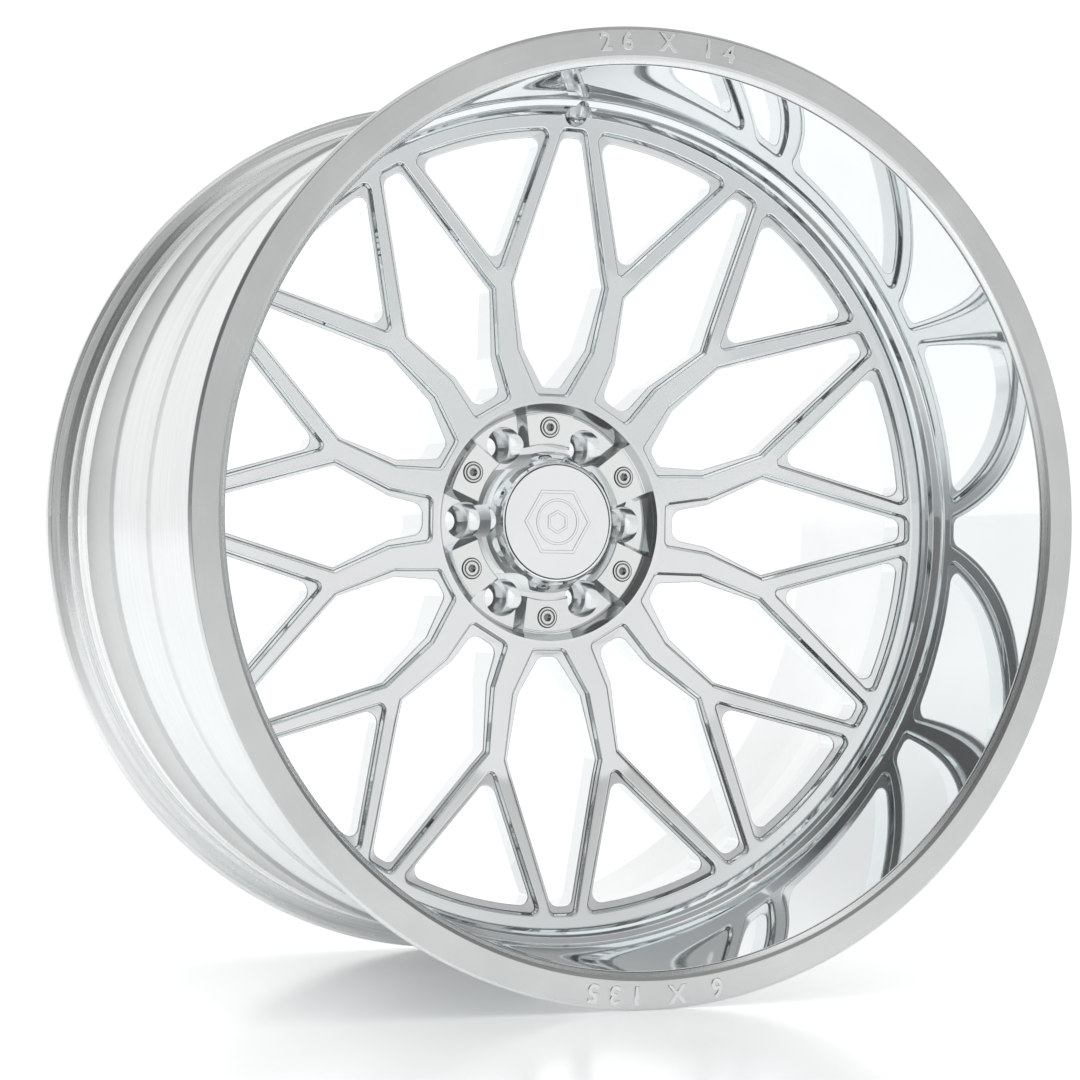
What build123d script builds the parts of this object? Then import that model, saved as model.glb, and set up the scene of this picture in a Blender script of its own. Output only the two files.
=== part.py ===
from build123d import *
import math
import os

# Forged monoblock wheel, 26 x 14 in, 6 x 135 mm, offset -76 mm. Millimetres.
# The wheel stands upright: +Z up, the axis along Y, the show face toward -Y.
# Origin: the axis at the middle of the rim's overall width.

os.makedirs("parts", exist_ok=True)

# rim
lip_radius = 347.7
half_width = 191.3
bead_seat_radius = 330.2
lip_face_inner_radius = 327.0
flange_thickness = 9.5
barrel_ledge_radius = 327.6
well_radius = 324.2
ring_node_radius = 303.0
window_outer_radius = 298.5
opening_outer_radius = 292.0

# face: concave, a straight slope on each side of the fork radius
ring_edge = (307.7, -34.8)
fork_point = (198.7, -11.5)
recess_edge = (91.5, 1.7)

# hub
hub_node_radius = 94.0
mounting_pad_y = 76.0
bore_radius = 43.55
bore_depth = 26.0
cap_bore_radius = 42.0
recess_floor_y = 15.7
pad_y = 5.7
pad_inner_radius = 60.0
pad_outer_radius = 84.5
lug_circle_radius = 67.5
lug_count = 6
lug_bore_radius = 14.3
lug_seat_y = 44.0
lug_seat_radius = 12.6
lug_hole_radius = 8.0
seat_cone_half_angle = 30.0

# pad screws
screw_circle_radius = 73.3
screw_head_radius = 7.7
screw_recess_radius = 7.95
screw_shank_radius = 4.0
screw_head_top_y = 4.9
screw_seat_y = 9.7
screw_end_y = 30.0
socket_flats = 6.0

# centre cap
cap_face_y = -11.5
cap_face_radius = 45.4
cap_skirt_radius = 54.5
cap_skirt_y = 3.0
cap_seat_gap = 0.1
cap_scallop_radius = 19.0
spigot_radius = 41.93
spigot_end_y = 47.0
spigot_wall = 4.0
seal_groove_y = 26.0
clip_groove_y = 39.0

# windows
ledge_depth = 3.5
fork_angle = 15.0

# valve
valve_tilt = 15.0
valve_hole_radius = 5.65
valve_relief_radius = 9.5
valve_relief_circle = 309.0
valve_relief_y = -37.5

front = Plane(origin=(0, 0, 0), x_dir=(1, 0, 0), z_dir=(0, -1, 0))


def face_y(radius):
    """Depth of the show face at a radius."""
    low, high = (recess_edge, fork_point) if radius < fork_point[0] else (fork_point, ring_edge)
    return low[1] + (high[1] - low[1]) * (radius - low[0]) / (high[0] - low[0])


def revolve_profile(points):
    """A closed (radius, y) outline turned about the wheel axis."""
    face = make_face(Plane.XY * Polyline(*points, close=True))
    return revolve(face, Axis.Y)


def arc_points(center, radius, start, end, steps=6):
    """Points of a round stretch in a (radius, y) outline, angles in degrees."""
    out = []
    for i in range(steps + 1):
        a = math.radians(start + (end - start) * i / steps)
        out.append((center[0] + radius * math.cos(a), center[1] + radius * math.sin(a)))
    return out


def prism(sketch, y_from, y_to):
    """A face drawn on the XZ plane, carried along Y."""
    return extrude(Plane((0, y_from, 0), x_dir=(1, 0, 0), z_dir=(0, -1, 0)) * sketch, -(y_to - y_from))


def spin(shape, angle):
    """Turn about the wheel axis, from +X toward +Z."""
    return Rot(0, -angle, 0) * shape


def along(radius, angle):
    """The XZ place at a radius and an angle from +X toward +Z."""
    a = math.radians(angle)
    return radius * math.cos(a), radius * math.sin(a)


def y_cylinder(radius, y_from, y_to, x=0.0, z=0.0):
    return Pos(x, 0, z) * prism(Circle(radius), y_from, y_to)


def y_cone(radius_from, radius_to, y_from, y_to, x=0.0, z=0.0):
    points = [(0, y_from), (radius_from, y_from), (radius_to, y_to), (0, y_to)]
    return Pos(x, 0, z) * revolve_profile(points)


def as_one(shape):
    """The single solid of a boolean result."""
    solids = sorted(shape.solids(), key=lambda s: s.volume)
    return solids[-1]


def save(shape, node, label=None):
    shape.label = label or node
    export_step(shape, f"parts/{node}.step")
    print(node, round(shape.volume / 1000.0, 2), "cm3", len(shape.solids()), "solid(s)")


# ---------------------------------------------------------------- windows
# Half outlines at the show face, (along the window's axis, across it).
neck_window = [(98.0, 17.0), (133.7, 22.4), (179.6, 41.9), (294.0, 11.7)]
taper_window = [(97.0, 13.0), (131.0, 31.8), (182.0, 40.8), (294.0, 11.7)]
fork_window = [(193.0, 0.0), (293.0, 59.5)]

# Half outlines of the through opening below the ledge.
neck_opening = [(105.5, 11.0), (133.7, 16.5), (179.6, 38.0), (290.0, 8.5)]
taper_opening = [(103.5, 7.0), (133.0, 26.0), (182.0, 37.0), (290.0, 8.5)]
fork_opening = [(200.5, 0.0), (287.0, 51.5)]


def window_sketch(half, outer_radius, corner, end_corner, kink):
    """A window outline about +X, cut off by an arc about the wheel axis."""
    last, before = half[-1], half[-2]
    slope = (last[1] - before[1]) / (last[0] - before[0])
    reach = outer_radius + 12.0
    tip = (reach, last[1] + slope * (reach - last[0]))
    side = half[:-1] + [tip]
    lower = [(x, -z) for x, z in reversed(side) if z > 0.001]
    outline = make_face(Polyline(*side, *lower, close=True))
    outline = outline & Circle(outer_radius)
    outer = [v for v in outline.vertices() if math.hypot(v.X, v.Y) > outer_radius - 0.5]
    outline = fillet(outer, end_corner)
    inner = [v for v in outline.vertices() if v.X < half[0][0] + 0.5]
    outline = fillet(inner, corner)
    bends = [
        v for v in outline.vertices()
        if any(math.hypot(v.X - x, abs(v.Y) - z) < 0.2 for x, z in half[1:-1])
    ]
    if bends:
        outline = fillet(bends, kink)
    return outline


face_line = [(84.0, 2.62), recess_edge, fork_point, ring_edge, (316.0, -36.6)]
band_points = [(r, y - 20.0) for r, y in face_line]
band_points += [(r, y + ledge_depth) for r, y in reversed(face_line)]
ledge_band = revolve_profile(band_points)


def window_cutter(half, opening, corner, opening_corner):
    """The recess down to the ledge, with the opening right through."""
    recess = prism(window_sketch(half, window_outer_radius, corner, 6.0, 2.5), -60.0, 30.0)
    recess = recess & ledge_band
    hole = prism(window_sketch(opening, opening_outer_radius, opening_corner, 7.0, 4.0), -60.0, 90.0)
    return recess + hole


neck_cutter = window_cutter(neck_window, neck_opening, 5.0, 9.0)
taper_cutter = window_cutter(taper_window, taper_opening, 5.0, 6.5)
fork_cutter = window_cutter(fork_window, fork_opening, 4.5, 8.0)
print("window cutters done")

# ---------------------------------------------------------------- hub
hub_profile = [
    (cap_bore_radius, recess_floor_y),
    (86.5, recess_floor_y),
    (recess_edge[0], recess_edge[1]),
    (hub_node_radius, face_y(hub_node_radius)),
    (hub_node_radius, 62.5),
    (91.0, 69.0),
    (86.0, mounting_pad_y),
    (bore_radius + 2.0, mounting_pad_y),
    (bore_radius, mounting_pad_y - 2.0),
    (bore_radius, mounting_pad_y - bore_depth),
    (cap_bore_radius, mounting_pad_y - bore_depth),
]
hub = revolve_profile(hub_profile)

pad_profile = [
    (pad_inner_radius, recess_floor_y + 0.5),
    (pad_inner_radius, pad_y + 0.6),
    (pad_inner_radius + 0.6, pad_y),
    (pad_outer_radius - 0.8, pad_y),
    (pad_outer_radius, pad_y + 1.0),
    (recess_edge[0], recess_edge[1]),
    (93.0, face_y(93.0)),
    (93.0, recess_floor_y + 0.5),
]
pad_ring = revolve_profile(pad_profile)
pad_plan = make_face(
    Polyline((58.0, -16.8), (96.0, -21.4), (96.0, 21.4), (58.0, 16.8), close=True)
)
pad_block = extrude(
    Plane((0, pad_y, 0), x_dir=(1, 0, 0), z_dir=(0, 1, 0)) * pad_plan, 10.5, taper=-24.0
)
pad_block = pad_block + prism(pad_plan, -6.0, pad_y)
pad = pad_ring & pad_block
for k in range(lug_count):
    hub = hub + spin(pad, 30.0 + 60.0 * k)

cone_depth = (lug_seat_radius - lug_hole_radius) / math.tan(math.radians(seat_cone_half_angle))
for k in range(lug_count):
    x, z = along(lug_circle_radius, 60.0 * k)
    hub = hub - y_cylinder(lug_bore_radius, -10.0, lug_seat_y, x, z)
    hub = hub - y_cone(lug_seat_radius, lug_hole_radius, lug_seat_y, lug_seat_y + cone_depth, x, z)
    hub = hub - y_cylinder(lug_hole_radius, lug_seat_y + cone_depth - 0.5, 80.0, x, z)
    x, z = along(screw_circle_radius, 30.0 + 60.0 * k)
    hub = hub - y_cylinder(screw_recess_radius, -2.0, screw_seat_y, x, z)
    hub = hub - y_cylinder(screw_shank_radius, screw_seat_y - 0.5, screw_end_y + 2.0, x, z)

hub = as_one(hub)
save(hub, "hub_centre")

# ---------------------------------------------------------------- valve
# A ball-ended relief at the foot of the lip wall and a hole through the wall.
relief_place = Pos(0, valve_relief_y, valve_relief_circle)
tilted = relief_place * Rot(valve_tilt, 0, 0)
relief = relief_place * Sphere(valve_relief_radius)
relief = relief + tilted * extrude(Circle(valve_relief_radius), 13.0)
valve_hole = tilted * extrude(Circle(valve_hole_radius), 60.0)

# ---------------------------------------------------------------- spokes
# One stem from the hub that forks into two arms, with its share of the hub's
# and of the ring's border. Neighbours are mirror images.
spoke_profile = [
    (hub_node_radius, face_y(hub_node_radius)),
    fork_point,
    (ring_node_radius, face_y(ring_node_radius)),
    (ring_node_radius, 14.0),
    (299.5, 4.0),
    (296.0, -2.5),
    (290.0, -6.0),
    (200.0, 15.0),
    (140.0, 30.0),
    (104.0, 48.0),
    (hub_node_radius, 62.5),
]
disc = revolve_profile(spoke_profile)
sector = make_face(Polyline((0, 0), (340, 0), along(340.0 / math.cos(math.radians(30)), 30.0), close=True))
wedge = disc & prism(sector, -80.0, 120.0)
spoke = wedge - neck_cutter
spoke = spoke - spin(taper_cutter, 30.0)
spoke = spoke - spin(fork_cutter, fork_angle)
spoke = as_one(spoke)
spoke_mirrored = mirror(spoke, Plane.XY)
for k in range(12):
    turned = spin(spoke, 30.0 * k) if k % 2 == 0 else spin(spoke_mirrored, 30.0 * (k + 1))
    if k in (2, 3):
        turned = as_one(turned - relief)
    save(turned, f"spoke_{k + 1:02d}")

# ---------------------------------------------------------------- rim
# Outside of the barrel from the back flange to the front one, then the inside.
flange_top = lip_radius - 2.0
rim_profile = [
    (flange_top, half_width),
    (lip_radius, half_width - 2.0),
    (lip_radius, half_width - 7.0),
    (lip_radius - 2.5, half_width - flange_thickness),
    (lip_radius - 9.0, half_width - 11.0),
    (bead_seat_radius + 2.5, half_width - 14.0),
    (bead_seat_radius + 1.0, half_width - 18.0),
    (bead_seat_radius, half_width - 34.0),
    (bead_seat_radius + 1.6, half_width - 38.0),
    (bead_seat_radius, half_width - 42.0),
    (bead_seat_radius - 2.2, half_width - 52.0),
    (bead_seat_radius - 2.2, half_width - 56.0),
    (bead_seat_radius - 0.4, half_width - 58.0),
    (bead_seat_radius - 0.4, 70.0),
    (barrel_ledge_radius, 67.0),
    (well_radius + 0.6, 30.0),
    (well_radius, 10.0),
    (well_radius + 0.8, -12.0),
    (bead_seat_radius - 3.5, -32.0),
    (bead_seat_radius - 3.5, -(half_width - 52.0)),
    (bead_seat_radius, -(half_width - 42.0)),
    (bead_seat_radius + 1.6, -(half_width - 38.0)),
    (bead_seat_radius, -(half_width - 34.0)),
    (bead_seat_radius + 1.0, -(half_width - 18.0)),
    (bead_seat_radius + 2.5, -(half_width - 14.0)),
    (lip_radius - 9.0, -(half_width - 11.0)),
    (lip_radius - 2.5, -(half_width - flange_thickness)),
    (lip_radius, -(half_width - 7.0)),
    (lip_radius, -(half_width - 1.6)),
    (lip_radius - 1.6, -half_width),
    (lip_face_inner_radius, -half_width),
    (lip_face_inner_radius - 2.5, -(half_width - 1.5)),
    (lip_face_inner_radius - 6.2, -(half_width - 5.0)),
    (319.0, -66.0),
]
rim_profile += arc_points((311.5, -54.0), 7.5, 0.0, 80.0)
rim_profile += [
    (311.5, -43.5),
    (310.0, -42.0),
    (309.0, -38.0),
    (308.4, -35.4),
    ring_edge,
    (ring_node_radius, face_y(ring_node_radius)),
    (ring_node_radius, 14.0),
    (305.5, 18.0),
    (313.0, 23.0),
    (319.0, 31.0),
    (320.3, 60.0),
    (322.5, 85.0),
    (323.4, 110.0),
    (323.6, half_width - 6.0),
    (325.0, half_width),
]
rim = revolve_profile(rim_profile)

rim = rim - relief - valve_hole
rim = as_one(rim)
save(rim, "rim_barrel")

# ---------------------------------------------------------------- screws
screw = y_cylinder(screw_head_radius, screw_head_top_y, screw_seat_y)
screw = screw + y_cylinder(screw_shank_radius, screw_seat_y - 0.5, screw_end_y)
rim_groove = y_cylinder(6.2, 0.0, screw_head_top_y + 0.7) - y_cylinder(5.2, -1.0, 8.0)
socket = prism(RegularPolygon(socket_flats / 2.0, 6, major_radius=False), 0.0, screw_head_top_y + 3.0)
screw = as_one(screw - rim_groove - socket)
for k in range(6):
    x, z = along(screw_circle_radius, 30.0 + 60.0 * k)
    save(Pos(x, 0, z) * screw, f"pad_screw_{k + 1}")

# ---------------------------------------------------------------- cap
cap_profile = [
    (0.0, cap_face_y + 1.5),
    (43.9, cap_face_y + 1.5),
    (44.1, cap_face_y + 0.3),
    (44.4, cap_face_y),
    (cap_face_radius, cap_face_y + 0.2),
    (46.6, cap_face_y + 2.0),
    (49.0, cap_face_y + 7.5),
    (52.0, cap_face_y + 12.0),
    (cap_skirt_radius, cap_skirt_y),
    (cap_skirt_radius, recess_floor_y - cap_seat_gap),
    (spigot_radius, recess_floor_y - cap_seat_gap),
    (spigot_radius, seal_groove_y - 2.0),
    (spigot_radius - 2.6, seal_groove_y - 2.0),
    (spigot_radius - 2.6, seal_groove_y + 2.0),
    (spigot_radius, seal_groove_y + 2.0),
    (spigot_radius, clip_groove_y - 1.2),
    (spigot_radius - 1.6, clip_groove_y - 1.2),
    (spigot_radius - 1.6, clip_groove_y + 1.2),
    (spigot_radius, clip_groove_y + 1.2),
    (spigot_radius, spigot_end_y - 1.0),
    (spigot_radius - 1.0, spigot_end_y),
    (spigot_radius - spigot_wall, spigot_end_y),
    (spigot_radius - spigot_wall, cap_face_y + 10.0),
    (36.0, cap_face_y + 6.0),
    (0.0, cap_face_y + 6.0),
]
cap = revolve_profile(cap_profile)
for k in range(lug_count):
    x, z = along(lug_circle_radius, 60.0 * k)
    cap = cap - y_cylinder(cap_scallop_radius, -40.0, recess_floor_y + 1.0, x, z)
save(as_one(cap), "centre_cap")

disc_plate = revolve_profile([
    (0.0, cap_face_y),
    (43.2, cap_face_y),
    (43.6, cap_face_y + 0.4),
    (43.6, cap_face_y + 1.5),
    (0.0, cap_face_y + 1.5),
])
save(disc_plate, "cap_disc")

seal_minor = 1.25
seal = revolve(
    make_face(Polyline(*arc_points((spigot_radius - 2.6 + seal_minor, seal_groove_y), seal_minor,
                                   0.0, 360.0, 16)[:-1], close=True)),
    Axis.Y,
)
save(seal, "cap_seal")

clip_gap_angle = 24.0
clip = revolve_profile([
    (spigot_radius - 1.6, clip_groove_y - 0.7),
    (spigot_radius - 0.35, clip_groove_y - 0.7),
    (spigot_radius - 0.35, clip_groove_y + 0.7),
    (spigot_radius - 1.6, clip_groove_y + 0.7),
])
gap = make_face(Polyline((0, 0), along(60.0, -clip_gap_angle / 2), along(60.0, clip_gap_angle / 2), close=True))
clip = as_one(clip - prism(gap, clip_groove_y - 3.0, clip_groove_y + 3.0))
save(clip, "cap_retaining_ring")
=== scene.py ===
import bpy
import math
import numpy as np
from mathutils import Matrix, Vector


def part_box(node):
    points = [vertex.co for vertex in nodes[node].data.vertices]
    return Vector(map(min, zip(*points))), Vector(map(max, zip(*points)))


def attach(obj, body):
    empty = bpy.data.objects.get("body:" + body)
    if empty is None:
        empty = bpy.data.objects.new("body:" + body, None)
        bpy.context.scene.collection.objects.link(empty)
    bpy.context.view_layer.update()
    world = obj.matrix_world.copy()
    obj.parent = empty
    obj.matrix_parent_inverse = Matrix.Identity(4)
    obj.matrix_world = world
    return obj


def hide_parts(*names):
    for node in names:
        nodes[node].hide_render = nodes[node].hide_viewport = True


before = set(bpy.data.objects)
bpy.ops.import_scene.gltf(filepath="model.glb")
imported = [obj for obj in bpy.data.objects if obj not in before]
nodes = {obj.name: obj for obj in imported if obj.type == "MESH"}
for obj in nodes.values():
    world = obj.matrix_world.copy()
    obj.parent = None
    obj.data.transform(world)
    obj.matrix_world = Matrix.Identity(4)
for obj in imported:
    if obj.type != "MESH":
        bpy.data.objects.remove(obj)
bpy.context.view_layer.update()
mm = 0.001

# Shared sizes of the forging, in millimetres. The wheel's axis is Y and its show face looks toward -Y.
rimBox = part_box("rim_barrel")
halfWidth = (rimBox[1][1] - rimBox[0][1]) / 2 / mm
wheel = {
    "hubBorder": 94.0,
    # (radius, depth) of the show face, which slopes toward the ring and breaks at the forks
    "face": [(84.0, 2.62), (91.5, 1.7), (198.7, -11.5), (307.7, -34.8), (320.0, -37.4)],
    "rear": [(86.0, 76.0), (91.0, 69.0), (94.0, 62.5), (104.0, 48.0), (140.0, 30.0), (200.0, 15.0),
             (290.0, -6.0), (296.0, -2.5), (299.5, 4.0), (303.0, 14.0)],
}


# ---- small numpy tools
def faceDepth(r):
    # Depth of the show face at a radius: straight slopes that meet at the forks.
    radii, depths = zip(*wheel["face"])
    return np.interp(r, radii, depths)


def rearDepth(r):
    # Depth of the rear at a radius, the same way.
    radii, depths = zip(*wheel["rear"])
    return np.interp(r, radii, depths)


def filletPath(points, radii, steps):
    # Straight runs joined by arcs: each corner is cut back by its radius over the tangent of half its angle,
    # then swept about the arc's centre.
    pts = [np.array(p, float) for p in points]
    out = [pts[0][None]]
    for i in range(1, len(pts) - 1):
        rho = radii[i]
        if rho <= 0:
            out.append(pts[i][None])
            continue
        a = pts[i - 1] - pts[i]
        b = pts[i + 1] - pts[i]
        a /= np.linalg.norm(a)
        b /= np.linalg.norm(b)
        half = math.acos(max(-1, min(1, a @ b))) / 2
        back = rho / math.tan(half)
        mid = (a + b) / np.linalg.norm(a + b)
        c = pts[i] + mid * rho / math.sin(half)
        p, q = pts[i] + a * back - c, pts[i] + b * back - c
        t = np.linspace(0, 1, steps + 1)[:, None]
        w = math.acos(max(-1, min(1, (p @ q) / rho / rho)))
        out.append(c + (np.sin((1 - t) * w) * p + np.sin(t * w) * q) / math.sin(w))
    out.append(pts[-1][None])
    return np.concatenate(out)


def gridNormals(p, closed):
    # Each corner takes the sum of its quads' normals, weighted by size, so that flats stay flat beside
    # small roundings.
    q = np.concatenate([p, p[:, :1]], 1) if closed else p
    n = np.cross(q[1:, 1:] - q[:-1, :-1], q[1:, :-1] - q[:-1, 1:])
    n *= np.linalg.norm(n, axis=2, keepdims=True) ** 0.5
    v = np.zeros_like(q)
    v[:-1, :-1] += n
    v[1:, :-1] += n
    v[:-1, 1:] += n
    v[1:, 1:] += n
    if closed:
        v[:, 0] += v[:, -1]
        v = v[:, :-1]
    return v / np.maximum(np.linalg.norm(v, axis=2, keepdims=True), 1e-20)


def gridFaces(rows, cols, closed, start):
    # Quads of a grid; a closed one joins its last column to its first.
    r = np.arange(rows - 1)[:, None]
    c = np.arange(cols if closed else cols - 1)[None]
    d = (c + 1) % cols
    f = np.stack([r * cols + c, r * cols + d, (r + 1) * cols + d, (r + 1) * cols + c], -1)
    return f.reshape(-1, 4) + start


def surface(name, grids, materials, body, replaced=()):
    # Several grids of points, given in millimetres, as one mesh in metres.
    # A grid may be closed or flipped, has a material per row and may keep only some of its quads.
    verts, faces, norms, mats = [], [], [], []
    start = 0
    for g in grids:
        p = np.asarray(g["p"], float) * mm
        closed = g.get("closed", False)
        rows, cols = p.shape[:2]
        f = gridFaces(rows, cols, closed, start)
        n = gridNormals(p, closed)
        m = np.repeat(np.broadcast_to(g.get("mat", 0), (rows - 1,)), f.shape[0] // (rows - 1))
        if "keep" in g:
            f, m = f[g["keep"].ravel()], m[g["keep"].ravel()]
        if g.get("flip"):
            f = f[:, ::-1]
            n = -n
        verts.append(p.reshape(-1, 3))
        norms.append(n.reshape(-1, 3))
        faces.append(f)
        mats.append(m)
        start += rows * cols
    verts, faces, norms, mats = map(np.concatenate, (verts, faces, norms, mats))
    mesh = bpy.data.meshes.new(name)
    mesh.vertices.add(len(verts))
    mesh.vertices.foreach_set("co", verts.ravel())
    mesh.loops.add(faces.size)
    mesh.loops.foreach_set("vertex_index", faces.ravel().astype(np.int32))
    mesh.polygons.add(len(faces))
    mesh.polygons.foreach_set("loop_start", np.arange(0, faces.size, 4, dtype=np.int32))
    mesh.polygons.foreach_set("material_index", mats.astype(np.int32))
    mesh.polygons.foreach_set("use_smooth", np.ones(len(faces), bool))
    mesh.update(calc_edges=True)
    mesh.validate()
    mesh.normals_split_custom_set_from_vertices(norms.tolist())
    for m in materials:
        mesh.materials.append(m)
    obj = bpy.data.objects.new(name, mesh)
    bpy.context.scene.collection.objects.link(obj)
    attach(obj, body)
    if replaced:
        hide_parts(*replaced)
    return obj


# ---- material node helpers
def node(tree, kind, inputs=None, **values):
    # A shader node with its inputs linked or set.
    n = tree.nodes.new(kind)
    for k, v in values.items():
        setattr(n, k, v)
    for k, v in (inputs or {}).items():
        if isinstance(v, bpy.types.NodeSocket):
            tree.links.new(v, n.inputs[k])
        else:
            n.inputs[k].default_value = v
    return n


def math1(tree, op, a, b=0.0):
    return node(tree, "ShaderNodeMath", {0: a, 1: b}, operation=op).outputs[0]


def mapRange(tree, value, a, b, c, d):
    return node(tree, "ShaderNodeMapRange", {0: value, 1: a, 2: b, 3: c, 4: d}).outputs[0]


def lengthOf(tree, a, b):
    squares = math1(tree, "ADD", math1(tree, "MULTIPLY", a, a), math1(tree, "MULTIPLY", b, b))
    return math1(tree, "SQRT", squares)


def newGroup(name, inputs, outputs):
    g = bpy.data.node_groups.new(name, "ShaderNodeTree")
    for n, kind, default in inputs:
        s = g.interface.new_socket(n, in_out="INPUT", socket_type=kind)
        s.default_value = default
    for n, kind in outputs:
        g.interface.new_socket(n, in_out="OUTPUT", socket_type=kind)
    return g, g.nodes.new("NodeGroupInput"), g.nodes.new("NodeGroupOutput")


def turnedGroup():
    # Tool lines that run round the wheel axis: noise of (radius, depth), nearly constant with angle.
    g, gi, go = newGroup("turnedLines",
                         [("Lines", "NodeSocketFloat", 900.0), ("Patch", "NodeSocketFloat", 9.0)],
                         [("Height", "NodeSocketFloat"), ("Cloud", "NodeSocketFloat")])
    co = node(g, "ShaderNodeTexCoord").outputs["Object"]
    x, y, z = node(g, "ShaderNodeSeparateXYZ", {0: co}).outputs
    rad = lengthOf(g, x, z)
    ang = math1(g, "ARCTAN2", z, x)
    lines = node(g, "ShaderNodeCombineXYZ", {0: math1(g, "MULTIPLY", rad, gi.outputs["Lines"]),
                                             1: math1(g, "MULTIPLY", y, gi.outputs["Lines"]),
                                             2: math1(g, "MULTIPLY", ang, 2.0)})
    fine = node(g, "ShaderNodeTexNoise", {"Vector": lines.outputs[0], "Scale": 1.0, "Detail": 3.0})
    cloud = node(g, "ShaderNodeTexNoise", {"Vector": co, "Scale": gi.outputs["Patch"], "Detail": 4.0})
    g.links.new(fine.outputs[0], go.inputs["Height"])
    g.links.new(cloud.outputs[0], go.inputs["Cloud"])
    return g


def buffGroup():
    # Buffing haze: fine random scratches and soft clouds, from object coordinates.
    g, gi, go = newGroup("buffHaze", [("Scale", "NodeSocketFloat", 60.0)],
                         [("Haze", "NodeSocketFloat"), ("Scratch", "NodeSocketFloat")])
    co = node(g, "ShaderNodeTexCoord").outputs["Object"]
    cloud = node(g, "ShaderNodeTexNoise",
                 {"Vector": co, "Scale": gi.outputs["Scale"], "Detail": 5.0, "Roughness": 0.6})
    stretch = node(g, "ShaderNodeMapping",
                   {"Vector": co, "Scale": (900.0, 900.0, 30.0), "Rotation": (0.3, 0.5, 0.9)})
    fine = node(g, "ShaderNodeTexNoise", {"Vector": stretch.outputs[0], "Scale": 1.0, "Detail": 2.0})
    g.links.new(cloud.outputs[0], go.inputs["Haze"])
    g.links.new(fine.outputs[0], go.inputs["Scratch"])
    return g


def zonesGroup():
    # Masks round the hub: painted shade in the screw rings, sockets and disc's edge groove, the bevel painted
    # darker in place of its dark reflections, and the pad faces. One screw's pattern is wrapped round the
    # axis six times.
    g, gi, go = newGroup("hubZones", [("Soft", "NodeSocketFloat", 0.00015)],
                         [(n, "NodeSocketFloat") for n in ("Rings", "Bevel", "Pad", "Rim")])
    x, y, z = node(g, "ShaderNodeSeparateXYZ", {0: node(g, "ShaderNodeTexCoord").outputs["Object"]}).outputs
    rad = lengthOf(g, x, z)
    soft = gi.outputs["Soft"]

    def band(value, limits):
        # 1 between the limits in millimetres, falling to 0 over the soft width outside.
        low, high = limits
        up = math1(g, "DIVIDE", math1(g, "SUBTRACT", value, low * mm), soft)
        down = math1(g, "DIVIDE", math1(g, "SUBTRACT", high * mm, value), soft)
        raw = math1(g, "ADD", math1(g, "MINIMUM", up, down), 1.0)
        return math1(g, "MINIMUM", math1(g, "MAXIMUM", raw, 0.0), 1.0)

    halfStep = math.pi / 6
    ang = math1(g, "SUBTRACT", math1(g, "ARCTAN2", z, x), halfStep)
    turn = node(g, "ShaderNodeMath", {0: ang, 1: halfStep, 2: -halfStep}, operation="WRAP").outputs[0]
    across = math1(g, "MULTIPLY", rad, math1(g, "SINE", turn))
    out = math1(g, "SUBTRACT", math1(g, "MULTIPLY", rad, math1(g, "COSINE", turn)), hub["screwCircle"] * mm)
    far = lengthOf(g, across, out)
    dark = band(far, hub["recessRing"])
    for limits, strength in (hub["headRing"], hub["socket"]):
        dark = math1(g, "MAXIMUM", dark, math1(g, "MULTIPLY", band(far, limits), strength))
    g.links.new(math1(g, "MULTIPLY", dark, band(y, hub["screwDepth"])), go.inputs["Rings"])
    g.links.new(band(rad, hub["bevel"]), go.inputs["Bevel"])
    g.links.new(band(y, hub["padDepth"]), go.inputs["Pad"])
    g.links.new(band(rad, hub["discEdge"]), go.inputs["Rim"])
    return g


hub = {
    "screwCircle": 73.3,
    # limits in millimetres: round a screw's axis, the last two with a strength, ...
    "recessRing": (7.45, 8.2), "headRing": ((5.1, 6.2), 0.75), "socket": ((-1000.0, 3.1), 0.7),
    # ... along the wheel's axis, ...
    "screwDepth": (-20.0, 11.0), "padDepth": (5.55, 5.85),
    # ... and round it.
    "bevel": (85.0, 91.4), "discEdge": (43.4, 43.9),
}
turned = turnedGroup()
buff = buffGroup()
zones = zonesGroup()


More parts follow.
